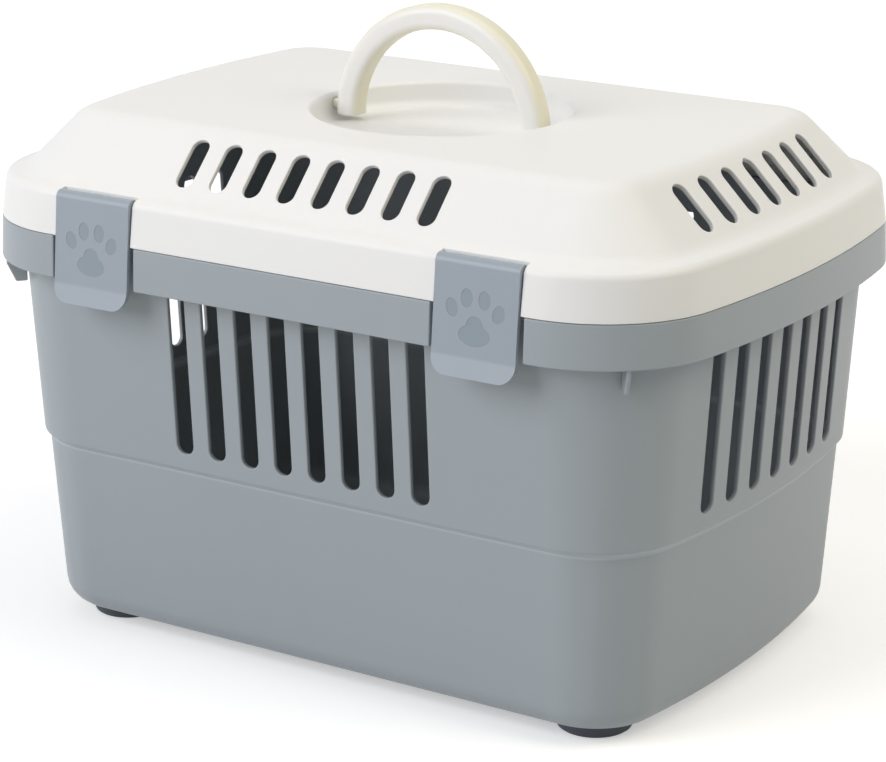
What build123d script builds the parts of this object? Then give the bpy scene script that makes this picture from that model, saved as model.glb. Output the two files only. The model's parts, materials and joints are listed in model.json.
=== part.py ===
from build123d import *
import math
import os

# A pet carrier: an open tub, a hinged lid with a carrying handle, two front clips and four feet.
# Millimetres. X runs along the length, the clips are on the -Y side, and Z is up from the floor.
# The origin is on the floor, under the middle of the body.

# Plan of the body where lid and tub meet
body_length = 390.0
body_width = 269.6
end_bow = 16.7
corner_radius = 58.8
least_corner = 6.0

# Feet
foot_height = 6.3
foot_radius = 19.0
foot_taper = 2.0
foot_end_inset = 62.0
foot_side_inset = 55.0
foot_seat = 0.8
seat_gap = 0.1

# Tub
tub_height = 196.7
tub_wall = 2.4
floor_inset = 24.5
floor_round = 13.0
step_height = 86.9
step_inset = 18.5
step_width = 2.6
step_rise = 2.5
step_round = 2.2
wall_inset = 8.8
lip_height = 5.5

# Rim that turns down round the top of the tub
rim_height = 20.0
rim_wall = 2.4
rim_flare = 0.9
gusset_drop = 12.0
gusset_foot = 5.5
gusset_edge = 3.0
gusset_wall = 2.0
gusset_turn = 48.0

# Air slots in the tub and vents in the lid
slot_width = 9.4
slot_bottom = 96.9
slot_hidden = 6.0
front_count = 8
front_pitch = 18.65
end_count = 7
end_pitch = 19.85
vent_end_pitch = 19.5
vent_length = 25.8
vent_inset = 26.5

# Lid
seam_gap = 0.25
lid_wall = 2.4
shoulder_inset = 2.8
shoulder_height = 21.0
shoulder_round = 4.5
slope_foot_inset = 13.0
slope_foot_height = 23.1
slope_foot_round = 12.0
slope_angle = 45.0
crown_height = 50.8
crown_round = 16.0

# The handle, and the dish in the lid that it folds into
handle_span = 103.4
handle_rise = 48.0
handle_thickness = 12.9
handle_depth = 12.0
handle_round = 4.2
handle_floor_gap = 0.8
dish_gap = 3.65
dish_depth = 11.8
dish_draft = 1.2
dish_floor_round = 4.0
dish_edge_round = 2.5
stub_radius = 2.5
stub_length = 9.0
boss_wall = 2.6
boss_back = 1.2
boss_width = 13.0
pin_clearance = 0.05

# Clips on the front and straps on the back
clip_end_inset = 91.3
clip_width = 42.2
clip_gap = 0.5
clip_wall = 2.4
clip_proud = 1.8
clip_drop = 29.7
clip_reach = 5.2
clip_corner = 8.0
clip_bend = 9.0
barrel_radius = 3.6
barrel_drop = 2.9
cheek = 3.5
cheek_back = 1.0
clip_pin_radius = 1.1
pocket_wall = 1.7
notch_side = 2.2
notch_depth = 3.6
hook_height = 4.5
hook_margin = 7.0
hook_gap = 0.3
hook_drop = 0.5
hook_root = 0.5

# Hinge at the rear
hinge_drop = 14.5
knuckle_radius = 4.2
hinge_pin_radius = 2.0
ear_width = 6.0

# Paw print pressed into each clip
paw_depth = 0.3
paw_centre = -3.0
paw_pad = (7.8, 4.8)
paw_pad_drop = 8.2
paw_pad_top = (4.3, 4.8)
paw_pad_top_drop = 4.6
paw_toe = (2.9, 4.1)
paw_inner_toe = (4.4, 7.6)
paw_outer_toe = (11.6, 2.6)
paw_toe_tilt = 18.0

# Least rounding of a profile's corner, and how far a cut runs past what it cuts
edge_round = 0.3
overshoot = 1.0

# Heights and places that follow from the sizes above
half_length = body_length / 2
half_width = body_width / 2
foot_along = half_length - foot_end_inset
foot_across = half_width - foot_side_inset
clip_place = half_length - clip_end_inset
dish_radius = (handle_span + handle_thickness) / 2 + dish_gap
end_radius = (half_width**2 + end_bow**2) / (2 * end_bow)
seam = foot_height + tub_height
rim_bottom = seam - rim_height
crown = seam + crown_height
slope = math.radians(slope_angle)
crown_inset = slope_foot_inset + (crown_height - slope_foot_height) / math.tan(slope)
step_top_inset = step_inset - step_width
dish_floor = crown - dish_depth
handle_axis = dish_floor + handle_floor_gap + handle_depth / 2
barrel_height = shoulder_height - barrel_drop
skirt_lean = shoulder_inset / shoulder_height
barrel_inset = skirt_lean * barrel_height - clip_proud + barrel_radius
pocket_back = barrel_inset + barrel_radius + clip_gap
pocket_low = seam + barrel_height - barrel_radius - clip_gap
hinge_out = clip_reach - knuckle_radius
notch_width = clip_width + 2 * notch_side

ALL_SIDES = ((1, 1), (1, -1), (-1, 1), (-1, -1))


def ring(inset, height):
    """The body's plan drawn in by an inset, as a closed outline at a height."""
    side = half_width - inset
    bow = end_radius - inset
    centre = half_length - end_radius
    corner = max(corner_radius - inset, least_corner)
    corner_y = side - corner
    corner_x = centre + math.sqrt((bow - corner) ** 2 - corner_y**2)
    turn = math.atan2(corner_y, corner_x - centre)
    end_x = centre + bow * math.cos(turn)
    end_y = bow * math.sin(turn)
    half_turn = (turn + math.pi / 2) / 2
    mid_x = corner_x + corner * math.cos(half_turn)
    mid_y = corner_y + corner * math.sin(half_turn)

    def at(x, y):
        return Vector(x, y, height)

    edges = []
    for s in (1, -1):
        edges.append(Edge.make_three_point_arc(
            at(s * end_x, -s * end_y), at(s * (centre + bow), 0), at(s * end_x, s * end_y)))
        edges.append(Edge.make_three_point_arc(
            at(s * end_x, s * end_y), at(s * mid_x, s * mid_y), at(s * corner_x, s * side)))
        edges.append(Edge.make_line(at(s * corner_x, s * side), at(-s * corner_x, s * side)))
        edges.append(Edge.make_three_point_arc(
            at(-s * corner_x, s * side), at(-s * mid_x, s * mid_y), at(-s * end_x, s * end_y)))
    return Wire(edges)


def body_of(profile):
    """A solid whose outline at each height is the plan drawn in by the profile's inset."""
    return Solid.make_loft([ring(inset, height) for inset, height in profile], ruled=True)


def rounded(points, radii, steps=6):
    """A profile's corners turned into arcs, each with its own radius."""
    smooth = [points[0]]
    for before, corner, after, radius in zip(points, points[1:], points[2:], radii):
        entry = Vector(before[0] - corner[0], before[1] - corner[1]).normalized()
        leave = Vector(after[0] - corner[0], after[1] - corner[1]).normalized()
        half = math.radians(entry.get_angle(leave)) / 2
        middle = (entry + leave).normalized() * (radius / math.sin(half))
        reach = radius / math.tan(half)
        start = entry * reach - middle
        sweep = math.pi - 2 * half
        sense = 1 if start.X * leave.Y - start.Y * leave.X > 0 else -1
        for i in range(steps + 1):
            turn = sense * sweep * i / steps
            x = start.X * math.cos(turn) - start.Y * math.sin(turn)
            y = start.X * math.sin(turn) + start.Y * math.cos(turn)
            smooth.append((corner[0] + middle.X + x, corner[1] + middle.Y + y))
    smooth.append(points[-1])
    return smooth


def beside(points, distance):
    """A profile moved sideways by a distance, to the right of the way it runs."""
    moved = []
    normals = []
    for (x0, y0), (x1, y1) in zip(points, points[1:]):
        length = math.hypot(x1 - x0, y1 - y0)
        normals.append(((y1 - y0) / length, (x0 - x1) / length))
    for i, (x, y) in enumerate(points):
        near = normals[max(i - 1, 0)]
        far = normals[min(i, len(normals) - 1)]
        share = distance / (1 + near[0] * far[0] + near[1] * far[1])
        moved.append((x + share * (near[0] + far[0]), y + share * (near[1] + far[1])))
    return moved


def block(x0, x1, y0, y1, z0, z1):
    """A block between two corners."""
    return Pos((x0 + x1) / 2, (y0 + y1) / 2, (z0 + z1) / 2) * Box(x1 - x0, y1 - y0, z1 - z0)


def rod(radius, x0, x1, y, z):
    """A round bar along X."""
    return Pos((x0 + x1) / 2, y, z) * Rot(0, 90, 0) * Cylinder(radius, x1 - x0)


def prism(points, width, centre=0.0):
    """An outline in Y and Z, given a width along X."""
    outline = Wire.make_polygon([(centre - width / 2, y, z) for y, z in points], close=True)
    return Solid.extrude(Face(outline), Vector(width, 0, 0))


def both_faces(shape):
    """The shape at the front, and again at the rear."""
    return [shape, Rot(0, 0, 180) * shape]


def row(count, pitch):
    """The places of a centred row."""
    return [(i - (count - 1) / 2) * pitch for i in range(count)]


def end_at(inset, across):
    """How far along X the bowed end lies, at a place across the body."""
    return half_length - end_radius + math.sqrt((end_radius - inset) ** 2 - across**2)


def make_tub():
    corners = [
        (floor_inset + 2 * floor_round, foot_height),
        (floor_inset, foot_height),
        (step_inset, foot_height + step_height),
        (step_top_inset, foot_height + step_height + step_rise),
        (wall_inset, seam + lip_height),
    ]
    outer = body_of(rounded(corners, (floor_round, edge_round, step_round))[1:])
    inside = beside(corners, tub_wall)
    inside[-1] = (inside[-1][0], seam + lip_height + overshoot)
    cavity = body_of(rounded(inside, (floor_round - tub_wall, edge_round + tub_wall, edge_round))[1:])
    wall = outer - cavity - tub_slots()
    rim = body_of([(-rim_flare, rim_bottom), (0, seam)])
    rim -= body_of([(rim_wall - rim_flare, rim_bottom), (rim_wall, seam - rim_wall)])
    rim -= cavity
    for place in (-clip_place, clip_place):
        notch = block(place - notch_width / 2, place + notch_width / 2,
                      -half_width - clip_reach, -half_width + notch_depth,
                      rim_bottom - overshoot, seam + overshoot)
        rim -= both_faces(notch)
    rim += gussets() + hinge_ears()
    axis_y = half_width + hinge_out
    rim -= rod(hinge_pin_radius + pin_clearance, -half_length, half_length, axis_y, seam - hinge_drop)
    tub = wall + rim
    for foot in feet(seat_gap):
        tub -= foot
    return tub


def tub_slots():
    slots = []
    top = rim_bottom + slot_hidden
    low = foot_height + slot_bottom
    middle = (top + low) / 2
    for x in row(front_count, front_pitch):
        outline = Plane.XZ * Pos(x, middle) * SlotOverall(top - low, slot_width, rotation=90)
        slots.append(extrude(outline, amount=body_width, both=True))
    for y in row(end_count, end_pitch):
        outline = Plane.YZ * Pos(y, middle) * SlotOverall(top - low, slot_width, rotation=90)
        slots.append(extrude(outline, amount=body_length, both=True))
    return slots


def gussets():
    """A fin under the rim on each corner's diagonal, standing on the wall."""
    fins = []
    corner_y = half_width - corner_radius
    centre = half_length - end_radius
    corner_x = centre + math.sqrt((end_radius - corner_radius) ** 2 - corner_y**2)
    wall_reach = corner_radius - wall_inset - tub_wall / 2
    rim_reach = corner_radius - rim_wall / 2
    outline = [
        (wall_reach, rim_bottom - gusset_drop),
        (wall_reach + gusset_foot, rim_bottom - gusset_drop),
        (rim_reach + rim_flare, rim_bottom - gusset_edge),
        (rim_reach, seam - rim_wall / 2),
        (wall_reach, seam - rim_wall / 2),
    ]
    for sx, sy in ALL_SIDES:
        turn = sx * sy * gusset_turn - 90 + (0 if sx > 0 else 180)
        fins.append(Pos(sx * corner_x, sy * corner_y) * Rot(0, 0, turn) * prism(outline, gusset_wall))
    return fins


def hinge_ears():
    """Two ears for each hinge, beside the rear notches of the rim."""
    ears = []
    axis_y = half_width + hinge_out
    axis_z = seam - hinge_drop
    for place in (-clip_place, clip_place):
        for side in (-1, 1):
            near = place + side * notch_width / 2
            far = near + side * ear_width
            low, high = min(near, far), max(near, far)
            ear = rod(knuckle_radius, low, high, axis_y, axis_z)
            ear += block(low, high, half_width - rim_wall, axis_y,
                         axis_z - knuckle_radius, axis_z + knuckle_radius)
            ears.append(ear)
    return ears


def make_lid():
    corners = [
        (0, seam + seam_gap),
        (shoulder_inset, seam + shoulder_height),
        (slope_foot_inset, seam + slope_foot_height),
        (crown_inset, crown),
        (crown_inset + crown_round, crown),
    ]
    outer = body_of(rounded(corners, (shoulder_round, slope_foot_round, crown_round))[:-1])
    inside = beside(corners, lid_wall)
    inside[0] = (lid_wall, seam + seam_gap)
    radii = (shoulder_round - lid_wall, slope_foot_round + lid_wall, crown_round - lid_wall)
    cavity = body_of(rounded(inside, radii)[:-1])
    cavity -= dish(lid_wall)
    cavity -= handle_bosses()
    for place in (-clip_place, clip_place):
        half = clip_width / 2 + clip_gap + cheek
        housing = block(place - half, place + half, -half_width, -half_width + pocket_back + pocket_wall,
                        pocket_low - pocket_wall, seam + shoulder_height + lid_wall)
        housing += block(place - half, place + half, -half_width, -half_width + notch_depth + pocket_wall,
                         seam, pocket_low)
        cavity -= both_faces(housing)
    lid = outer - cavity - dish(0) - lid_vents()
    lid = fillet(dish_edge(lid), dish_edge_round)
    bore = rod(stub_radius + pin_clearance, handle_span / 2, dish_radius + stub_length, 0, handle_axis)
    lid -= [bore, mirror(bore, Plane.YZ)]
    for place in (-clip_place, clip_place):
        lid -= both_faces(clip_pocket(place))
    return lid


def dish(skin):
    """The space of the round dish, or with a skin the outside of its shell."""
    low = dish_floor - skin
    wide = dish_radius + skin
    profile = rounded(
        [(0, low), (wide - dish_draft, low), (wide, crown)], (dish_floor_round + skin,))
    top = crown + overshoot if skin == 0 else crown - lid_wall / 2
    profile[-1] = (wide, top)
    outline = Wire.make_polygon([(r, 0, z) for r, z in profile + [(0, top)]], close=True)
    return revolve(Face(outline), Axis.Z)


def dish_edge(lid):
    rims = lid.edges().filter_by(GeomType.CIRCLE)
    return [e for e in rims if abs(e.radius - dish_radius) < 1 and abs(e.center().Z - crown) < 0.01]


def handle_bosses():
    """Blocks behind the dish wall that carry the handle's stubs."""
    boss = block(dish_radius - dish_draft, dish_radius + stub_length + boss_back,
                 -boss_width / 2, boss_width / 2, handle_axis - stub_radius - boss_wall, crown)
    return [boss, mirror(boss, Plane.YZ)]


def clip_pocket(place):
    """The pocket that holds a clip, deepest round its barrel, with the bores for its stubs."""
    half = clip_width / 2 + clip_gap
    axis_y = -half_width + barrel_inset
    axis_z = seam + barrel_height
    pocket = block(place - half, place + half, -half_width - clip_reach, -half_width + pocket_back,
                   pocket_low, axis_z + barrel_radius + clip_gap)
    pocket += block(place - half, place + half, -half_width - clip_reach, -half_width + notch_depth,
                    seam - overshoot, pocket_low)
    bore_half = half + cheek - cheek_back
    return pocket + rod(clip_pin_radius + pin_clearance, place - bore_half, place + bore_half,
                        axis_y, axis_z)


def lid_vents():
    vents = []
    middle = seam + slope_foot_height + (vent_inset - slope_foot_inset) * math.tan(slope)
    for x in row(front_count, front_pitch):
        plane = Plane(origin=(x, -half_width + vent_inset, middle), x_dir=(1, 0, 0),
                      z_dir=(0, -math.sin(slope), math.cos(slope)))
        vent = extrude(plane * SlotOverall(vent_length, slot_width, rotation=90),
                       amount=2 * lid_wall, both=True)
        vents += both_faces(vent)
    for y in row(end_count, vent_end_pitch):
        plane = Plane(origin=(end_at(vent_inset, y), y, middle), x_dir=(0, 1, 0),
                      z_dir=(math.sin(slope), 0, math.cos(slope)))
        vent = extrude(plane * SlotOverall(vent_length, slot_width, rotation=90),
                       amount=2 * lid_wall, both=True)
        vents += both_faces(vent)
    return vents


def make_handle():
    half = handle_span / 2
    path = Edge.make_three_point_arc(
        (-half, 0, handle_axis), (0, 0, handle_axis + handle_rise), (half, 0, handle_axis))
    tangent = path.tangent_at(0)
    section = Plane(origin=path @ 0, x_dir=(0, 1, 0), z_dir=tangent) * RectangleRounded(
        handle_depth, handle_thickness, handle_round)
    grip = sweep(section, path=path)
    for side in (-1, 1):
        inner = side * (half - handle_thickness / 2)
        outer = side * (half + handle_thickness / 2)
        tip = side * (dish_radius + stub_length - clip_gap)
        grip += rod(handle_depth / 2, min(inner, outer), max(inner, outer), 0, handle_axis)
        grip += rod(stub_radius, min(outer, tip), max(outer, tip), 0, handle_axis)
    return grip


def clip_plate(face, width):
    """A plate that hangs from a round top edge, with its outer face along the given line."""
    inner = beside(face, clip_wall)
    inner[-1] = (inner[-1][0], face[-1][1])
    line = rounded(face, (clip_bend,)) if len(face) > 2 else face
    back = rounded(inner, (clip_bend + clip_wall,)) if len(face) > 2 else inner
    outline = [(-half_width - out, seam + z) for out, z in line + back[::-1]]
    plate = prism(outline, width)
    axis_y = -half_width + barrel_inset
    axis_z = seam + barrel_height
    plate += rod(barrel_radius, -width / 2, width / 2, axis_y, axis_z)
    pin_half = width / 2 + cheek - cheek_back
    return plate + rod(clip_pin_radius, -pin_half, pin_half, axis_y, axis_z)


def make_clip():
    face = [
        (barrel_radius - barrel_inset, barrel_height),
        (rim_flare + clip_proud, -rim_height - overshoot),
        (clip_reach, -clip_drop),
    ]
    clip = clip_plate(face, clip_width)
    clip -= corner_cuts()
    inner = beside(face, clip_wall)
    top = -rim_wall - hook_drop
    lean = (inner[1][0] - inner[0][0]) / (inner[1][1] - inner[0][1])
    root = inner[0][0] + (top - inner[0][1]) * lean + hook_root
    hook = [(-half_width - root, seam + top), (-half_width + notch_depth - hook_gap, seam + top),
            (-half_width - root, seam + top - hook_height)]
    clip += prism(hook, clip_width - 2 * hook_margin)
    return clip - paw_print(face)


def corner_cuts():
    """What rounding takes off the two lower corners of a clip."""
    height = seam - clip_drop
    square = Rectangle(2 * clip_corner, 2 * clip_corner)
    through = notch_depth + clip_reach + clip_bend
    cuts = []
    for side in (-1, 1):
        corner = Pos(side * (clip_width / 2 - clip_corner), height + clip_corner) * (square - Circle(clip_corner))
        outline = corner & (Pos(side * clip_width / 2, height) * square)
        cuts.append(extrude(Plane.XZ.offset(half_width - notch_depth) * outline, amount=through))
    return cuts


def paw_print(face):
    """A pad and four toes, pressed into the outer face of a clip."""
    (out0, z0), (out1, z1) = face[0], face[1]
    along = Vector(0, -(out1 - out0), z1 - z0).normalized()
    outward = Vector(0, along.Z, -along.Y)
    out = out0 + (paw_centre - z0) * (out1 - out0) / (z1 - z0)
    plane = Plane(origin=(0, -half_width - out, seam + paw_centre), x_dir=(1, 0, 0), z_dir=outward)
    shapes = Pos(0, -paw_pad_drop) * Ellipse(*paw_pad) + Pos(0, -paw_pad_top_drop) * Ellipse(*paw_pad_top)
    for side in (-1, 1):
        shapes += Pos(side * paw_inner_toe[0], paw_inner_toe[1]) * Ellipse(*paw_toe)
        shapes += Pos(side * paw_outer_toe[0], paw_outer_toe[1]) * Ellipse(
            *paw_toe, rotation=-side * paw_toe_tilt)
    return extrude(plane * shapes, amount=paw_depth, both=True)


def make_hinge_strap():
    face = [
        (barrel_radius - barrel_inset, barrel_height),
        (hinge_out + clip_wall, -hinge_drop),
    ]
    strap = clip_plate(face, clip_width)
    axis_y = -half_width - hinge_out
    axis_z = seam - hinge_drop
    strap += rod(knuckle_radius, -clip_width / 2, clip_width / 2, axis_y, axis_z)
    strap -= rod(hinge_pin_radius + pin_clearance, -clip_width, clip_width, axis_y, axis_z)
    return Rot(0, 0, 180) * strap


def make_hinge_pin():
    half = notch_width / 2 + ear_width
    return rod(hinge_pin_radius, -half, half, half_width + hinge_out, seam - hinge_drop)


def feet(room=0.0):
    """The four pads, seated in the tub's floor, or with room the seats that hold them."""
    pads = []
    top = foot_height + foot_seat
    for sx, sy in ALL_SIDES:
        place = Pos(sx * foot_along, sy * foot_across)
        if room:
            pads.append(place * Pos(0, 0, foot_height) * Cylinder(foot_radius + room, 2 * foot_seat))
        else:
            pad = Solid.make_cone(foot_radius - foot_taper, foot_radius, foot_height)
            pad += Pos(0, 0, top / 2 + foot_height / 2) * Cylinder(foot_radius, top - foot_height)
            pads.append(place * pad)
    return pads


def make_parts():
    clip = make_clip()
    strap = make_hinge_strap()
    pin = make_hinge_pin()
    parts = {
        "tub_shell": make_tub(),
        "lid_shell": make_lid(),
        "handle_grip": make_handle(),
    }
    for name, side in (("left", -1), ("right", 1)):
        shift = Pos(side * clip_place, 0, 0)
        parts["clip_" + name] = shift * clip
        parts["hinge_strap_" + name] = shift * strap
        parts["hinge_pin_" + name] = shift * pin
    names = ("foot_rear_right", "foot_front_right", "foot_rear_left", "foot_front_left")
    for name, pad in zip(names, feet()):
        parts[name] = pad
    return parts


def main():
    os.makedirs("parts", exist_ok=True)
    for name, shape in make_parts().items():
        export_step(shape, "parts/" + name + ".step")
        print(name, len(shape.solids()), round(shape.volume / 1000, 2), "cm3")


main()
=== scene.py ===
import json
import math

import bmesh
import bpy
from bpy.props import FloatProperty, FloatVectorProperty, IntProperty, PointerProperty
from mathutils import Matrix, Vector


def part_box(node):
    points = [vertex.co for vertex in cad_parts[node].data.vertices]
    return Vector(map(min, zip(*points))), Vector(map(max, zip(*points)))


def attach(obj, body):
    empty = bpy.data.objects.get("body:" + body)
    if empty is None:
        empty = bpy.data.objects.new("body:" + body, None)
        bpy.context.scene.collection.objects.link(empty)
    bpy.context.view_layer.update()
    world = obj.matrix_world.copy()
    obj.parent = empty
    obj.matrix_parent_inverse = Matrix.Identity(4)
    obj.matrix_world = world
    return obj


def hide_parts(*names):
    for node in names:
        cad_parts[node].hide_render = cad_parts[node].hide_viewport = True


bl_info = {
    "name": "Pet carrier looks",
    "version": (1, 0, 0),
    "blender": (4, 5, 0),
    "location": "3D View > Sidebar > Carrier",
    "description": "Dresses the packed pet carrier: shells, handle, clips, hinge, feet and a plain stage",
    "category": "Object",
}

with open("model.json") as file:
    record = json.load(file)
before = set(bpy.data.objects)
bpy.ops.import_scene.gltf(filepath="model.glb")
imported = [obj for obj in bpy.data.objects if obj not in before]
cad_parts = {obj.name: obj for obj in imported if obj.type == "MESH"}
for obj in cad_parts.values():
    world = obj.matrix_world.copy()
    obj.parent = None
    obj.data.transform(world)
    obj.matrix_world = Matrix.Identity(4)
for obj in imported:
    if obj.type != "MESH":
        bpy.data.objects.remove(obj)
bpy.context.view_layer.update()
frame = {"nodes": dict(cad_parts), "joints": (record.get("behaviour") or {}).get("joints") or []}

GRIP_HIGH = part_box("handle_grip")[1]
GRIP_AXIS = next(joint["pos_m"][2] for joint in frame["joints"] if joint["name"] == "handle_fold")
FOOT_LOW, FOOT_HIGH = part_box("foot_front_right")
PIN_LOW, PIN_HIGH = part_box("hinge_pin_right")

# How closely a CAD node's triangles are joined, and from where its faces count as flat or level
JOIN_WITHIN = 2e-6
FLAT_WITHIN = math.radians(0.4)
LEVEL = 0.999

# A clip's front turns this much towards -Y, and the floor of its paw print faces the same way
# between these depths behind it
FRONT_FACING = 0.95
SAME_WAY = 0.999
PRINT_DEPTHS = (0.0001, 0.001)

# Sides of a round bar, and the radius of a pin's domed head as a share of the pin's
BAR_SIDES = 48
HEAD_SPREAD = 1.25

# Moulded plastic: how fine its three noises are, how they are blended, and what they change
DRIFT_SCALE = 7.0
FLOW_SCALE = 55.0
FINE_SCALE = 1500.0
FLOW_STRETCH = (1.0, 1.0, 0.35)
DRIFT_SHARE = 0.75
FINE_HEIGHT = 0.7
FLOW_HEIGHT = 0.8
GRAIN_DEPTH = 0.0004
GLOSS_DOWN = 0.04
GLOSS_UP = 0.05
PLASTIC_IOR = 1.49

# Painted highlight: the tub's ledge is this much paler than its wall, with this share of it left at the
# front
LEDGE_PAINTED_LIGHT = 1.32
LEDGE_LIGHT_AT_FRONT = 0.66

# The painted shade that the floor of a paw print is multiplied by, and how much of the straw tint edges
# take
PRINT_PAINTED_SHADE = (0.8, 0.835, 0.84, 1)
EDGE_TINT = 0.8

# Soft square lights, each with its place in metres, its size, its power in watts and its colour,
# and the height that they look at
LAMPS = {
    "key_light": ((-1.42, -2.4, 1.64), 2.2, 64.0, (0.985, 0.985, 1.0)),
    "side_light": ((2.1, 0.6, 2.18), 1.8, 34.0, (1.0, 0.93, 0.74)),
    "top_light": ((0.0, 0.3, 2.8), 2.2, 18.0, (0.98, 0.98, 1.0)),
}
LIT_HEIGHT = 0.14
WHITE = (1.0, 1.0, 1.0, 1.0)

# The floor's glow near the carrier and far from it, the distances between which it grows, and
# the share of the floor's colour that reaches the carrier
GLOW_NEAR = 0.4
GLOW_FAR = 1.0
FADE = (0.5, 3.0)
BOUNCE = 0.85


def length(name, description, default):
    """A size in metres that the sidebar shows with its unit."""
    return FloatProperty(name=name, description=description, default=default, min=0.0,
                         precision=5, unit="LENGTH", subtype="DISTANCE")


def angle(name, description, degrees):
    """An angle that the sidebar shows in degrees."""
    return FloatProperty(name=name, description=description, default=math.radians(degrees),
                         subtype="ANGLE")


def colour(name, description, default):
    """A linear colour with a swatch in the sidebar."""
    return FloatVectorProperty(name=name, description=description, default=default,
                               size=3, min=0.0, max=1.0, subtype="COLOR")


class CarrierShellSizes(bpy.types.PropertyGroup):
    """How the moulded shells are finished."""

    rim_soft: length("Tub edge", "Radius on the edges of the tub", 0.0007)
    lid_soft: length("Lid edge", "Radius on the edges of the lid", 0.00045)
    # Where the painted highlight on the tub's ledge is centred, and how far it reaches up and down
    ledge_light_middle: length("Ledge height", "Height of the ledge where the tub's wall steps in", 0.0938)
    ledge_light_half: length("Ledge reach", "How far the ledge's paler tone reaches up and down", 0.0022)
    clip_soft: length("Clip edge", "Radius on the edges of clips and straps", 0.0006)
    print_soft: length("Print edge", "Radius on the edges of the clips and their paw print", 0.00012)
    print_lift: length("Print lift", "How much shallower the paw print is made", 0.00014)
    sharp_angle: angle("Sharp from", "Edges that turn more than this are softened", 52)


class CarrierHandleSizes(bpy.types.PropertyGroup):
    """The arch that folds into the lid's dish."""

    span: length("Span", "Distance between the middles of the two legs", 0.1034)
    rise: length("Rise", "Height of the arch's middle line over its axis", 0.048)
    axis_height: length("Axis height", "Height of the axis that the handle folds about", GRIP_AXIS)
    below: length("Below axis", "How far each leg runs on below the axis", 0.0042)
    width: length("Width", "Width of the grip, seen from the front", 0.0129)
    depth: length("Depth", "Depth of the grip, from front to back", 0.012)
    corner: length("Corner", "Radius of the grip's section corners", 0.0042)
    edge: length("Edge", "Radius on the edges of the legs' ends and of the stubs", 0.0014)
    edge_angle: angle("Sharp from", "Edges that turn more than this are softened", 50)
    stub: length("Stub radius", "Radius of the stubs that turn in the lid", 0.0025)
    tip: length("Stub reach", "How far each stub's end lies from the middle", GRIP_HIGH.x)
    segments: IntProperty(name="Segments", description="Steps along the arch", default=96, min=12)


class CarrierHingeSizes(bpy.types.PropertyGroup):
    """The two pins at the rear."""

    radius: length("Pin radius", "Radius of each pin", 0.002)
    reach: length("Pin length", "Length of each pin between its heads", PIN_HIGH.x - PIN_LOW.x)
    place: length("Pin place", "How far each pin lies from the middle", (PIN_LOW.x + PIN_HIGH.x) / 2)
    out: length("Axis out", "How far the hinge axis lies behind the middle", (PIN_LOW.y + PIN_HIGH.y) / 2)
    height: length("Axis height", "Height of the hinge axis", (PIN_LOW.z + PIN_HIGH.z) / 2)
    head: length("Head", "How far each domed head stands proud", 0.0009)


class CarrierFootSizes(bpy.types.PropertyGroup):
    """The four pads under the tub."""

    radius: length("Radius", "Radius of a pad where it meets the tub", (FOOT_HIGH.x - FOOT_LOW.x) / 2)
    taper: length("Taper", "How much smaller a pad is at the floor", 0.002)
    height: length("Height", "Height of a pad, with its seat", FOOT_HIGH.z)
    along: length("Along", "Distance between pads along the body", FOOT_LOW.x + FOOT_HIGH.x)
    across: length("Across", "Distance between pads across the body", -FOOT_LOW.y - FOOT_HIGH.y)
    tread: length("Tread", "Thickness of the raised rings under a pad", 0.0012)
    rings: IntProperty(name="Rings", description="Raised rings under a pad", default=4, min=1)
    edge: length("Edge", "Radius on the edges of a pad", 0.0004)
    edge_angle: angle("Sharp from", "Edges that turn more than this are softened", 60)


class CarrierColours(bpy.types.PropertyGroup):
    """Base colours of the plastics."""

    tub: colour("Tub", "Blue-grey of the tub", (0.334, 0.374, 0.405))
    lid: colour("Lid", "Warm white of the lid", (0.862, 0.86, 0.852))
    handle: colour("Handle", "Milky white of the handle", (0.845, 0.84, 0.82))
    handle_edge: colour("Handle edge", "Straw tint along the handle's edges", (0.83, 0.80, 0.62))
    clip: colour("Clip", "Blue-grey of clips and straps", (0.315, 0.364, 0.417))
    pin: colour("Pin", "Grey of the hinge pins", (0.20, 0.22, 0.235))
    # The feet's near-black is painted shade, for the dark they sit in under the tub
    foot: colour("Foot", "Dark blue-grey of the feet", (0.055, 0.065, 0.085))
    floor: colour("Floor", "Pale floor", (0.86, 0.86, 0.86))


class CarrierStageSizes(bpy.types.PropertyGroup):
    """The floor, the camera and the even light from all round."""

    floor_reach: length("Floor reach", "How far the floor runs to each side", 9.0)
    sky_light: FloatProperty(name="Sky light", description="Strength of the light from all round",
                             default=0.21, min=0.0)
    eye: FloatVectorProperty(name="Camera place", description="Where the camera stands",
                             default=(0.74941, -1.16502, 0.5509), precision=5, unit="LENGTH",
                             subtype="XYZ")
    turn: angle("Camera turn", "How far round from the front the camera stands", 32.74)
    tilt: angle("Camera tilt", "How steeply the camera looks down", 17.33)
    lens: FloatProperty(name="Lens", description="Focal length in millimetres on a 36 mm sensor",
                        default=121.78, min=1.0, unit="CAMERA")


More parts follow.
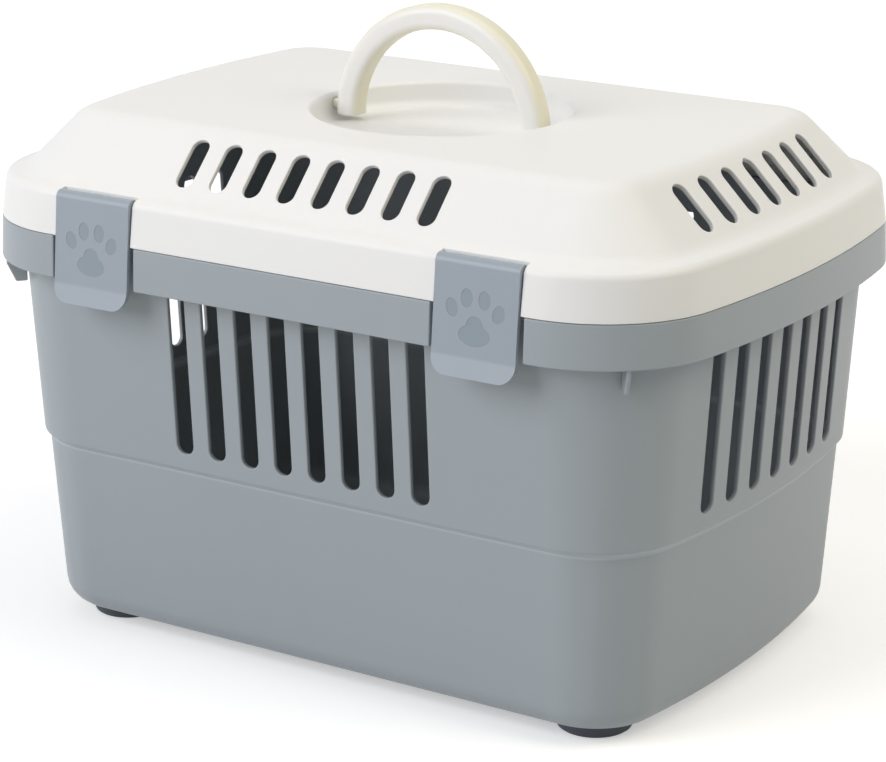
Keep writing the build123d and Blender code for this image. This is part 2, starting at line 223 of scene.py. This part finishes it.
class Nodes:
    """Short way of adding and joining nodes in one tree."""

    def __init__(self, tree):
        self.tree = tree

    def add(self, kind, inputs=None, **settings):
        node = self.tree.nodes.new(kind)
        for name, value in settings.items():
            setattr(node, name, value)
        for name, value in (inputs or {}).items():
            self.feed(node.inputs[name], value)
        return node

    def feed(self, socket, value):
        if isinstance(value, bpy.types.NodeSocket):
            self.tree.links.new(value, socket)
        else:
            socket.default_value = value

    def maths(self, operation, *values):
        node = self.add("ShaderNodeMath", operation=operation)
        for socket, value in zip(node.inputs, values):
            self.feed(socket, value)
        return node.outputs[0]

    def point(self, x=0.0, y=0.0, z=0.0):
        return self.add("ShaderNodeCombineXYZ", {"X": x, "Y": y, "Z": z}).outputs[0]

    def apart(self, vector):
        return self.add("ShaderNodeSeparateXYZ", {"Vector": vector}).outputs

    def noise(self, place, scale, detail):
        settings = {"Vector": place, "Scale": scale, "Detail": detail}
        return self.add("ShaderNodeTexNoise", settings).outputs["Fac"]

    def mix(self, factor, first, second, **settings):
        node = self.add("ShaderNodeMix", data_type="RGBA", **settings)
        self.feed(node.inputs["Factor"], factor)
        self.feed(node.inputs[6], first)
        self.feed(node.inputs[7], second)
        return node.outputs[2]


def plastic(name, base, roughness, grain, mottle):
    """Moulded plastic: a fine moulding grain, slow drifts of tone and gloss, and faint flow marks."""
    made = bpy.data.materials.new(name)
    made.use_nodes = True
    nodes = Nodes(made.node_tree)
    shader = made.node_tree.nodes["Principled BSDF"]
    place = nodes.add("ShaderNodeTexCoord").outputs["Object"]
    stretched = nodes.add("ShaderNodeMapping", {"Vector": place, "Scale": FLOW_STRETCH}).outputs[0]
    drift = nodes.noise(place, DRIFT_SCALE, 3.0)
    flow = nodes.noise(stretched, FLOW_SCALE, 4.0)
    fine = nodes.noise(place, FINE_SCALE, 2.0)
    tone = nodes.maths("MULTIPLY_ADD", drift, DRIFT_SHARE, nodes.maths("MULTIPLY", flow, 1 - DRIFT_SHARE))
    dark = tuple(c * (1 - mottle) for c in base)
    light = tuple(min(c * (1 + mottle), 1.0) for c in base)
    body = nodes.mix(tone, (*dark, 1), (*light, 1))
    nodes.feed(shader.inputs["Base Color"], body)
    gloss = nodes.add("ShaderNodeMapRange", {
        "Value": tone, "From Min": 0.3, "From Max": 0.7,
        "To Min": roughness - GLOSS_DOWN, "To Max": roughness + GLOSS_UP})
    nodes.feed(shader.inputs["Roughness"], gloss.outputs[0])
    height = nodes.maths("MULTIPLY_ADD", fine, FINE_HEIGHT, nodes.maths("MULTIPLY", flow, FLOW_HEIGHT))
    bump = nodes.add("ShaderNodeBump", {"Strength": grain, "Distance": GRAIN_DEPTH, "Height": height})
    nodes.feed(shader.inputs["Normal"], bump.outputs[0])
    shader.inputs["IOR"].default_value = PLASTIC_IOR
    return made, nodes, shader, body


def tub_plastic(base, ledge_light_middle, ledge_light_half):
    """The tub's plastic, with a painted highlight on the narrow ledge where the wall steps in, most at the
    ends.
    """
    made, nodes, shader, body = plastic("tub_plastic", base, roughness=0.43, grain=0.07, mottle=0.04)
    given = nodes.add("ShaderNodeTexCoord").outputs
    height = nodes.apart(given["Object"])["Z"]
    facing = nodes.maths("ABSOLUTE", nodes.apart(given["Normal"])["X"])
    end_light_share = nodes.add("ShaderNodeMapRange", {"Value": facing, "From Min": 0.15, "From Max": 0.5,
                                               "To Min": LEDGE_LIGHT_AT_FRONT, "To Max": 1.0})
    off = nodes.maths("ABSOLUTE", nodes.maths("SUBTRACT", height, ledge_light_middle))
    near = nodes.add("ShaderNodeMapRange", {"Value": off, "From Min": ledge_light_half * 0.4,
                                            "From Max": ledge_light_half, "To Min": 1.0, "To Max": 0.0},
                     interpolation_type="SMOOTHSTEP")
    share = nodes.maths("MULTIPLY", near.outputs[0], end_light_share.outputs[0])
    # Painted highlight on the ledge, standing in for the light it catches, strongest on the ends
    pale = nodes.mix(share, body, (*(c * LEDGE_PAINTED_LIGHT for c in base), 1))
    nodes.feed(shader.inputs["Base Color"], pale)
    return made


def milky(shader, weight, reach):
    """Lets light soak a little way into a pale plastic."""
    shader.inputs["Subsurface Weight"].default_value = weight
    shader.inputs["Subsurface Radius"].default_value = (1.0, 0.9, 0.7)
    shader.inputs["Subsurface Scale"].default_value = reach


def handle_plastic(colours, sizes):
    """Unpigmented plastic: milky in the middle of the section, straw-coloured along its edges."""
    made, nodes, shader, body = plastic("handle_plastic", colours.handle,
                                        roughness=0.3, grain=0.03, mottle=0.03)
    place = nodes.apart(nodes.add("ShaderNodeTexCoord").outputs["Object"])
    radius, middle = arch_circle(sizes)
    up = nodes.maths("SUBTRACT", place["Z"], middle)
    squares = nodes.maths("ADD", nodes.maths("POWER", place["X"], 2.0), nodes.maths("POWER", up, 2.0))
    off_line = nodes.maths("SUBTRACT", nodes.maths("SQRT", squares), radius)
    across = nodes.maths("ABSOLUTE", nodes.maths("DIVIDE", off_line, sizes.width / 2))
    edge = nodes.add("ShaderNodeMapRange", {"Value": across, "From Min": 0.5, "From Max": 0.95},
                     interpolation_type="SMOOTHSTEP")
    share = nodes.maths("MULTIPLY", edge.outputs[0], EDGE_TINT)
    nodes.feed(shader.inputs["Base Color"], nodes.mix(share, body, (*colours.handle_edge, 1)))
    milky(shader, weight=0.55, reach=0.006)
    return made


def clip_plastic(colours):
    """The clips' plastic, with painted shade where the paw print is pressed in."""
    made, nodes, shader, body = plastic("clip_plastic", colours.clip,
                                        roughness=0.38, grain=0.05, mottle=0.05)
    # The floor of the paw print is darkened: painted shade for its shallow recess
    pressed = nodes.add("ShaderNodeAttribute", attribute_name="pressed").outputs["Fac"]
    shade = nodes.mix(pressed, body, PRINT_PAINTED_SHADE, blend_type="MULTIPLY")
    nodes.feed(shader.inputs["Base Color"], shade)
    return made


def link(name, mesh, *materials):
    """A new object at the origin with these materials on its slots."""
    piece = bpy.data.objects.new(name, mesh)
    bpy.context.scene.collection.objects.link(piece)
    if materials:
        piece.data.materials.clear()
        for made in materials:
            piece.data.materials.append(made)
    return piece


def settle(piece):
    """Turns a piece with modifiers into a plain mesh and takes the modifiers off."""
    bpy.context.view_layer.update()
    graph = bpy.context.evaluated_depsgraph_get()
    mesh = bpy.data.meshes.new_from_object(piece.evaluated_get(graph), depsgraph=graph)
    piece.modifiers.clear()
    piece.data = mesh
    if not mesh.polygons:
        raise RuntimeError(f"{piece.name} came out empty")
    return piece


def joined_copy(node):
    """The CAD node's mesh with its loose triangles joined, and flat areas made whole.

    Level faces are cut into triangles again before any edge is rounded, because a narrow ring
    of one face doesn't fill cleanly afterwards.
    """
    mesh = bpy.data.meshes.new(node)
    work = bmesh.new()
    work.from_mesh(frame["nodes"][node].data)
    bmesh.ops.remove_doubles(work, verts=work.verts, dist=JOIN_WITHIN)
    bmesh.ops.dissolve_limit(work, angle_limit=FLAT_WITHIN, verts=work.verts, edges=work.edges)
    level = [face for face in work.faces if abs(face.normal.z) > LEVEL and len(face.verts) > 4]
    bmesh.ops.triangulate(work, faces=level)
    for face in work.faces:
        face.smooth = True
    work.to_mesh(mesh)
    work.free()
    return mesh


def soften(piece, radius, sharp_angle):
    """Rounds a piece's sharp edges and leaves its broad faces flat."""
    edges = piece.modifiers.new("soft_edges", "BEVEL")
    edges.width = radius
    edges.segments = 3
    edges.limit_method = "ANGLE"
    edges.angle_limit = sharp_angle
    edges.use_clamp_overlap = False
    edges.loop_slide = False
    edges.miter_outer = "MITER_ARC"
    even = piece.modifiers.new("even_faces", "WEIGHTED_NORMAL")
    even.mode = "FACE_AREA_WITH_ANGLE"
    even.weight = 50
    settle(piece)


def dress(name, node, body, radius, sharp_angle, made):
    """Makes a softened copy of a CAD node that rides where the node rides."""
    piece = link(name, joined_copy(node), made)
    soften(piece, radius, sharp_angle)
    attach(piece, body)
    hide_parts(node)


def new_tree(name, sizes):
    """A geometry tree with one named input for each size, and the identifiers to set them by."""
    tree = bpy.data.node_groups.new(name, "GeometryNodeTree")
    tree.interface.new_socket("Geometry", in_out="OUTPUT", socket_type="NodeSocketGeometry")
    keys = {}
    for label, value in sizes.items():
        kind = "NodeSocketInt" if isinstance(value, int) else "NodeSocketFloat"
        keys[label] = tree.interface.new_socket(label, in_out="INPUT", socket_type=kind).identifier
    nodes = Nodes(tree)
    return nodes, nodes.add("NodeGroupInput").outputs, keys


def finish_tree(nodes, shapes, made):
    """Joins the shapes, realizes instances, sets the material and ends the tree."""
    join = nodes.add("GeometryNodeJoinGeometry")
    for shape in shapes:
        nodes.tree.links.new(shape, join.inputs[0])
    real = nodes.add("GeometryNodeRealizeInstances", {"Geometry": join.outputs[0]})
    smooth = nodes.add("GeometryNodeSetShadeSmooth", {"Geometry": real.outputs[0]})
    coat = nodes.add("GeometryNodeSetMaterial", {"Geometry": smooth.outputs[0], "Material": made})
    nodes.add("NodeGroupOutput", {"Geometry": coat.outputs[0]})


def grow(name, nodes, keys, sizes):
    """Runs a geometry tree once and keeps what it makes as a plain mesh."""
    piece = link(name, bpy.data.meshes.new(name))
    run = piece.modifiers.new(name, "NODES")
    run.node_group = nodes.tree
    for label, value in sizes.items():
        run[keys[label]] = value
    return settle(piece)


def arch_circle(sizes):
    """Radius of the handle's middle line, and the height of its centre."""
    half = sizes.span / 2
    rise = sizes.rise + sizes.below
    radius = (half**2 + rise**2) / (2 * rise)
    return radius, sizes.axis_height + sizes.rise - radius


def bar(nodes, radius, start, end, height):
    """A round bar along X between two places, at a height."""
    middle = nodes.maths("MULTIPLY", nodes.maths("ADD", start, end), 0.5)
    reach = nodes.maths("ABSOLUTE", nodes.maths("SUBTRACT", end, start))
    shape = nodes.add("GeometryNodeMeshCylinder", {"Vertices": BAR_SIDES, "Radius": radius, "Depth": reach})
    return nodes.add("GeometryNodeTransform", {
        "Geometry": shape.outputs["Mesh"], "Translation": nodes.point(middle, 0.0, height),
        "Rotation": (0.0, math.pi / 2, 0.0)}).outputs[0]


class CARRIER_OT_tub(bpy.types.Operator):
    """Makes the tub with its step, rim, slots, gussets and hinge ears"""

    bl_idname = "carrier.tub"
    bl_label = "Tub"

    def execute(self, context):
        shells = context.scene.carrier_shells
        made = tub_plastic(context.scene.carrier_colours.tub, shells.ledge_light_middle, shells.ledge_light_half)
        dress("tub_body", "tub_shell", "tub", shells.rim_soft, shells.sharp_angle, made)
        return {"FINISHED"}


class CARRIER_OT_lid(bpy.types.Operator):
    """Makes the lid with its skirt, sloping vents and round dish"""

    bl_idname = "carrier.lid"
    bl_label = "Lid"

    def execute(self, context):
        shells = context.scene.carrier_shells
        base = context.scene.carrier_colours.lid
        made, _, shader, _ = plastic("lid_plastic", base, roughness=0.47, grain=0.05, mottle=0.015)
        milky(shader, weight=0.12, reach=0.002)
        dress("lid_top", "lid_shell", "lid", shells.lid_soft, shells.sharp_angle, made)
        return {"FINISHED"}


class CARRIER_OT_handle(bpy.types.Operator):
    """Makes the handle: one arch of rounded section, with feet and stubs"""

    bl_idname = "carrier.handle"
    bl_label = "Handle"

    def execute(self, context):
        sizes = context.scene.carrier_handle
        made = handle_plastic(context.scene.carrier_colours, sizes)
        values = {"Span": sizes.span, "Rise": sizes.rise, "Axis Height": sizes.axis_height,
                  "Width": sizes.width, "Depth": sizes.depth, "Corner": sizes.corner,
                  "Stub Radius": sizes.stub, "Stub Reach": sizes.tip, "Below Axis": sizes.below,
                  "Segments": sizes.segments}
        nodes, given, keys = new_tree("handle_arch", values)
        half = nodes.maths("MULTIPLY", given["Span"], 0.5)
        top = nodes.maths("ADD", given["Axis Height"], given["Rise"])
        foot = nodes.maths("SUBTRACT", given["Axis Height"], given["Below Axis"])
        arc = nodes.add("GeometryNodeCurveArc", {
            "Resolution": given["Segments"],
            "Start": nodes.point(nodes.maths("MULTIPLY", half, -1.0), 0.0, foot),
            "Middle": nodes.point(0.0, 0.0, top),
            "End": nodes.point(half, 0.0, foot)}, mode="POINTS")
        section = nodes.add("GeometryNodeCurvePrimitiveQuadrilateral",
                            {"Width": given["Width"], "Height": given["Depth"]})
        rounded = nodes.add("GeometryNodeFilletCurve", {
            "Curve": section.outputs[0], "Radius": given["Corner"], "Count": 8}, mode="POLY")
        arch = nodes.add("GeometryNodeCurveToMesh", {
            "Curve": arc.outputs["Curve"], "Profile Curve": rounded.outputs[0], "Fill Caps": True})
        shapes = [arch.outputs[0]]
        for side in (-1.0, 1.0):
            root = nodes.maths("MULTIPLY", half, side)
            tip = nodes.maths("MULTIPLY", given["Stub Reach"], side)
            shapes.append(bar(nodes, given["Stub Radius"], root, tip, given["Axis Height"]))
        finish_tree(nodes, shapes, made)
        arch = grow("handle_arch", nodes, keys, values)
        soften(arch, sizes.edge, sizes.edge_angle)
        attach(arch, "handle")
        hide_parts("handle_grip")
        return {"FINISHED"}


class CARRIER_OT_clips(bpy.types.Operator):
    """Makes the two front clips, with the paw print pressed into each"""

    bl_idname = "carrier.clips"
    bl_label = "Clips"

    def execute(self, context):
        shells = context.scene.carrier_shells
        made = clip_plastic(context.scene.carrier_colours)
        for side in ("left", "right"):
            node = "clip_" + side
            piece = link("clip_plate_" + side, joined_copy(node), made)
            mark_print(piece.data, shells.print_lift)
            soften(piece, shells.print_soft, shells.sharp_angle)
            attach(piece, node)
            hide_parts(node)
        return {"FINISHED"}


def mark_print(mesh, lift):
    """Marks the floor of a clip's paw print for its painted shade, and lifts it to make the print
    shallower.
    """
    broad = [p for p in mesh.polygons if p.normal.y < -FRONT_FACING]
    face = max(broad, key=lambda p: p.area)
    normal = face.normal.copy()
    pressed = mesh.attributes.new("pressed", "FLOAT", "FACE")
    floor = set()
    for p in mesh.polygons:
        depth = (face.center - p.center).dot(normal)
        if p.normal.dot(normal) > SAME_WAY and PRINT_DEPTHS[0] < depth < PRINT_DEPTHS[1]:
            pressed.data[p.index].value = 1.0
            floor.update(p.vertices)
    for place in floor:
        mesh.vertices[place].co += normal * lift


class CARRIER_OT_hinge(bpy.types.Operator):
    """Makes the two straps and the two pins at the rear"""

    bl_idname = "carrier.hinge"
    bl_label = "Hinge"

    def execute(self, context):
        shells = context.scene.carrier_shells
        sizes = context.scene.carrier_hinge
        colours = context.scene.carrier_colours
        made = plastic("strap_plastic", colours.clip, roughness=0.38, grain=0.05, mottle=0.05)[0]
        for side in ("left", "right"):
            dress("strap_plate_" + side, "hinge_strap_" + side, "lid",
                  shells.clip_soft, shells.sharp_angle, made)
        smooth = plastic("pin_plastic", colours.pin, roughness=0.33, grain=0.03, mottle=0.06)[0]
        values = {"Radius": sizes.radius, "Length": sizes.reach, "Place": sizes.place,
                  "Axis Out": sizes.out, "Axis Height": sizes.height, "Head": sizes.head}
        nodes, given, keys = new_tree("hinge_pins", values)
        half = nodes.maths("MULTIPLY", given["Length"], 0.5)
        shaft = bar(nodes, given["Radius"], nodes.maths("MULTIPLY", half, -1.0), half, 0.0)
        parts = nodes.add("GeometryNodeJoinGeometry")
        nodes.tree.links.new(shaft, parts.inputs[0])
        for side in (-1.0, 1.0):
            dome = nodes.add("GeometryNodeMeshUVSphere", {"Segments": 40, "Rings": 20, "Radius": 1.0})
            wide = nodes.maths("MULTIPLY", given["Radius"], HEAD_SPREAD)
            head = nodes.add("GeometryNodeTransform", {
                "Geometry": dome.outputs["Mesh"],
                "Translation": nodes.point(nodes.maths("MULTIPLY", half, side), 0.0, 0.0),
                "Scale": nodes.point(given["Head"], wide, wide)})
            nodes.tree.links.new(head.outputs[0], parts.inputs[0])
        places = nodes.add("GeometryNodeMeshLine", {
            "Count": 2, "Start Location": nodes.point(nodes.maths("MULTIPLY", given["Place"], -1.0),
                                                      given["Axis Out"], given["Axis Height"]),
            "Offset": nodes.point(nodes.maths("MULTIPLY", given["Place"], 2.0), 0.0, 0.0)})
        pins = nodes.add("GeometryNodeInstanceOnPoints", {"Points": places.outputs[0],
                                                          "Instance": parts.outputs[0]})
        finish_tree(nodes, [pins.outputs[0]], smooth)
        pair = grow("hinge_pins", nodes, keys, values)
        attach(pair, "tub")
        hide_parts("hinge_pin_left", "hinge_pin_right")
        return {"FINISHED"}


class CARRIER_OT_feet(bpy.types.Operator):
    """Makes the four pads with raised rings under them"""

    bl_idname = "carrier.feet"
    bl_label = "Feet"

    def execute(self, context):
        sizes = context.scene.carrier_feet
        base = context.scene.carrier_colours.foot
        # Dark pads: their colour is painted shade, for the dark under the tub
        made = plastic("foot_rubber", base, roughness=0.6, grain=0.12, mottle=0.08)[0]
        values = {"Radius": sizes.radius, "Taper": sizes.taper, "Height": sizes.height,
                  "Along": sizes.along, "Across": sizes.across, "Tread": sizes.tread, "Rings": sizes.rings}
        nodes, given, keys = new_tree("foot_pads", values)
        low = nodes.maths("SUBTRACT", given["Radius"], given["Taper"])
        lift = nodes.maths("MULTIPLY", given["Tread"], 0.5)
        pad = nodes.add("GeometryNodeMeshCone", {
            "Vertices": 64, "Radius Top": given["Radius"], "Radius Bottom": low,
            "Depth": nodes.maths("SUBTRACT", given["Height"], lift)})
        raised = nodes.add("GeometryNodeTransform", {
            "Geometry": pad.outputs["Mesh"], "Translation": nodes.point(0.0, 0.0, lift)})
        step = nodes.maths("DIVIDE", nodes.maths("SUBTRACT", low, given["Tread"]), given["Rings"])
        spots = nodes.add("GeometryNodeMeshLine", {
            "Count": given["Rings"], "Start Location": nodes.point(0.0, 0.0, lift),
            "Offset": nodes.point(0.0, 0.0, 0.0)})
        count = nodes.add("GeometryNodeInputIndex").outputs[0]
        size = nodes.maths("MULTIPLY", nodes.maths("ADD", count, 1.0), step)
        loops = nodes.add("GeometryNodeInstanceOnPoints", {
            "Points": spots.outputs[0],
            "Instance": nodes.add("GeometryNodeCurvePrimitiveCircle",
                                  {"Resolution": 64, "Radius": 1.0}).outputs["Curve"],
            "Scale": nodes.point(size, size, 1.0)})
        loose = nodes.add("GeometryNodeRealizeInstances", {"Geometry": loops.outputs[0]})
        bead = nodes.add("GeometryNodeCurvePrimitiveCircle", {"Resolution": 10, "Radius": lift})
        treads = nodes.add("GeometryNodeCurveToMesh", {
            "Curve": loose.outputs[0], "Profile Curve": bead.outputs["Curve"]})
        whole = nodes.add("GeometryNodeJoinGeometry")
        nodes.tree.links.new(raised.outputs[0], whole.inputs[0])
        nodes.tree.links.new(treads.outputs[0], whole.inputs[0])
        corners = nodes.add("GeometryNodeMeshGrid", {
            "Size X": given["Along"], "Size Y": given["Across"], "Vertices X": 2, "Vertices Y": 2})
        pads = nodes.add("GeometryNodeInstanceOnPoints", {"Points": corners.outputs["Mesh"],
                                                          "Instance": whole.outputs[0]})
        finish_tree(nodes, [pads.outputs[0]], made)
        feet = grow("foot_pads", nodes, keys, values)
        soften(feet, sizes.edge, sizes.edge_angle)
        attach(feet, "tub")
        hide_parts(*("foot_" + end + "_" + side
                            for end in ("front", "rear") for side in ("left", "right")))
        return {"FINISHED"}


class CARRIER_OT_stage(bpy.types.Operator):
    """Makes the pale floor, the soft lights and the camera"""

    bl_idname = "carrier.stage"
    bl_label = "Stage"

    def execute(self, context):
        scene = context.scene
        sizes = scene.carrier_stage
        reach = sizes.floor_reach
        floor_mesh = bpy.data.meshes.new("floor")
        corners = [(-reach, -reach, 0), (reach, -reach, 0), (reach, reach, 0), (-reach, reach, 0)]
        floor_mesh.from_pydata(corners, [], [(0, 1, 2, 3)])
        floor = link("floor", floor_mesh, floor_paint(scene.carrier_colours.floor))
        sky(sizes.sky_light)
        for name, (place, size, power, tint) in LAMPS.items():
            lamp(name, place, size, power, tint)
        eye = bpy.data.cameras.new("camera")
        eye.sensor_width = 36.0
        eye.lens = sizes.lens
        eye.clip_start = 0.05
        eye.clip_end = 50.0
        camera = bpy.data.objects.new("camera", eye)
        scene.collection.objects.link(camera)
        level = math.cos(sizes.tilt)
        back = Vector((math.sin(sizes.turn) * level, -math.cos(sizes.turn) * level, math.sin(sizes.tilt)))
        camera.rotation_mode = "QUATERNION"
        camera.rotation_quaternion = (-back).to_track_quat("-Z", "Y")
        camera.location = sizes.eye
        scene.camera = camera
        scene.view_settings.view_transform = "Standard"
        return {"FINISHED"}


def seen_directly(nodes):
    """One where a ray shows the background to the eye, in gloss or through clear things."""
    path = nodes.add("ShaderNodeLightPath").outputs
    return nodes.maths("MAXIMUM", path["Is Camera Ray"],
                       nodes.maths("MAXIMUM", path["Is Glossy Ray"], path["Is Transmission Ray"]))


def floor_paint(base):
    """A matt floor that keeps the carrier's shadow and fades to white away from it."""
    made = bpy.data.materials.new("floor_paint")
    made.use_nodes = True
    nodes = Nodes(made.node_tree)
    made.node_tree.nodes.remove(made.node_tree.nodes["Principled BSDF"])
    place = nodes.add("ShaderNodeTexCoord").outputs["Object"]
    pale = tuple(min(c * 1.02, 1.0) for c in base)
    tone = nodes.mix(nodes.noise(place, 3.0, 2.0), (*base, 1), (*pale, 1))
    matt = nodes.add("ShaderNodeBsdfDiffuse", {"Color": tone})
    dull = nodes.add("ShaderNodeBsdfDiffuse", {"Color": (*(c * BOUNCE for c in base), 1)})
    away = nodes.add("ShaderNodeVectorMath", {0: place}, operation="LENGTH").outputs["Value"]
    lift = nodes.add("ShaderNodeMapRange", {"Value": away, "From Min": FADE[0], "From Max": FADE[1],
                                            "To Min": GLOW_NEAR, "To Max": GLOW_FAR})
    glow = nodes.add("ShaderNodeEmission", {"Color": WHITE, "Strength": lift.outputs[0]})
    lifted = nodes.add("ShaderNodeAddShader", {0: matt.outputs[0], 1: glow.outputs[0]})
    pick = nodes.add("ShaderNodeMixShader", {0: seen_directly(nodes), 1: dull.outputs[0],
                                             2: lifted.outputs[0]})
    nodes.feed(made.node_tree.nodes["Material Output"].inputs["Surface"], pick.outputs[0])
    return made


def sky(strength):
    """A plain world: soft white light on the carrier, and white where it is seen directly."""
    world = bpy.context.scene.world or bpy.data.worlds.new("world")
    bpy.context.scene.world = world
    world.use_nodes = True
    nodes = Nodes(world.node_tree)
    light = world.node_tree.nodes["Background"]
    light.inputs["Color"].default_value = WHITE
    light.inputs["Strength"].default_value = strength
    white = nodes.add("ShaderNodeBackground", {"Color": WHITE, "Strength": 1.0})
    pick = nodes.add("ShaderNodeMixShader", {0: seen_directly(nodes), 1: light.outputs[0],
                                             2: white.outputs[0]})
    nodes.feed(world.node_tree.nodes["World Output"].inputs["Surface"], pick.outputs[0])


def lamp(name, place, size, power, tint):
    """A square soft light that looks at the middle of the carrier."""
    data = bpy.data.lights.new(name, "AREA")
    data.size = size
    data.energy = power
    data.color = tint
    light = bpy.data.objects.new(name, data)
    bpy.context.scene.collection.objects.link(light)
    light.location = place
    aim = Vector((0, 0, LIT_HEIGHT)) - Vector(place)
    light.rotation_mode = "QUATERNION"
    light.rotation_quaternion = aim.to_track_quat("-Z", "Y")


class CARRIER_PT_panel(bpy.types.Panel):
    """Lists the pieces and their sizes and colours"""

    bl_label = "Pet carrier"
    bl_idname = "CARRIER_PT_panel"
    bl_space_type = "VIEW_3D"
    bl_region_type = "UI"
    bl_category = "Carrier"

    def draw(self, context):
        for maker in MAKERS:
            self.layout.operator(maker.bl_idname)
        for name in GROUPS:
            box = self.layout.box()
            group = getattr(context.scene, name)
            for key in group.bl_rna.properties.keys():
                if key not in ("rna_type", "name"):
                    box.prop(group, key)


GROUPS = {
    "carrier_shells": CarrierShellSizes,
    "carrier_handle": CarrierHandleSizes,
    "carrier_hinge": CarrierHingeSizes,
    "carrier_feet": CarrierFootSizes,
    "carrier_colours": CarrierColours,
    "carrier_stage": CarrierStageSizes,
}
MAKERS = (CARRIER_OT_tub, CARRIER_OT_lid, CARRIER_OT_handle, CARRIER_OT_clips, CARRIER_OT_hinge,
          CARRIER_OT_feet, CARRIER_OT_stage)
CLASSES = (*GROUPS.values(), *MAKERS, CARRIER_PT_panel)


def register():
    for item in CLASSES:
        bpy.utils.register_class(item)
    for name, group in GROUPS.items():
        setattr(bpy.types.Scene, name, PointerProperty(type=group))


def unregister():
    for name in GROUPS:
        delattr(bpy.types.Scene, name)
    for item in reversed(CLASSES):
        bpy.utils.unregister_class(item)


def main():
    register()
    for maker in MAKERS:
        getattr(bpy.ops.carrier, maker.bl_idname.split(".")[1])()


if __name__ == "__main__":
    main()
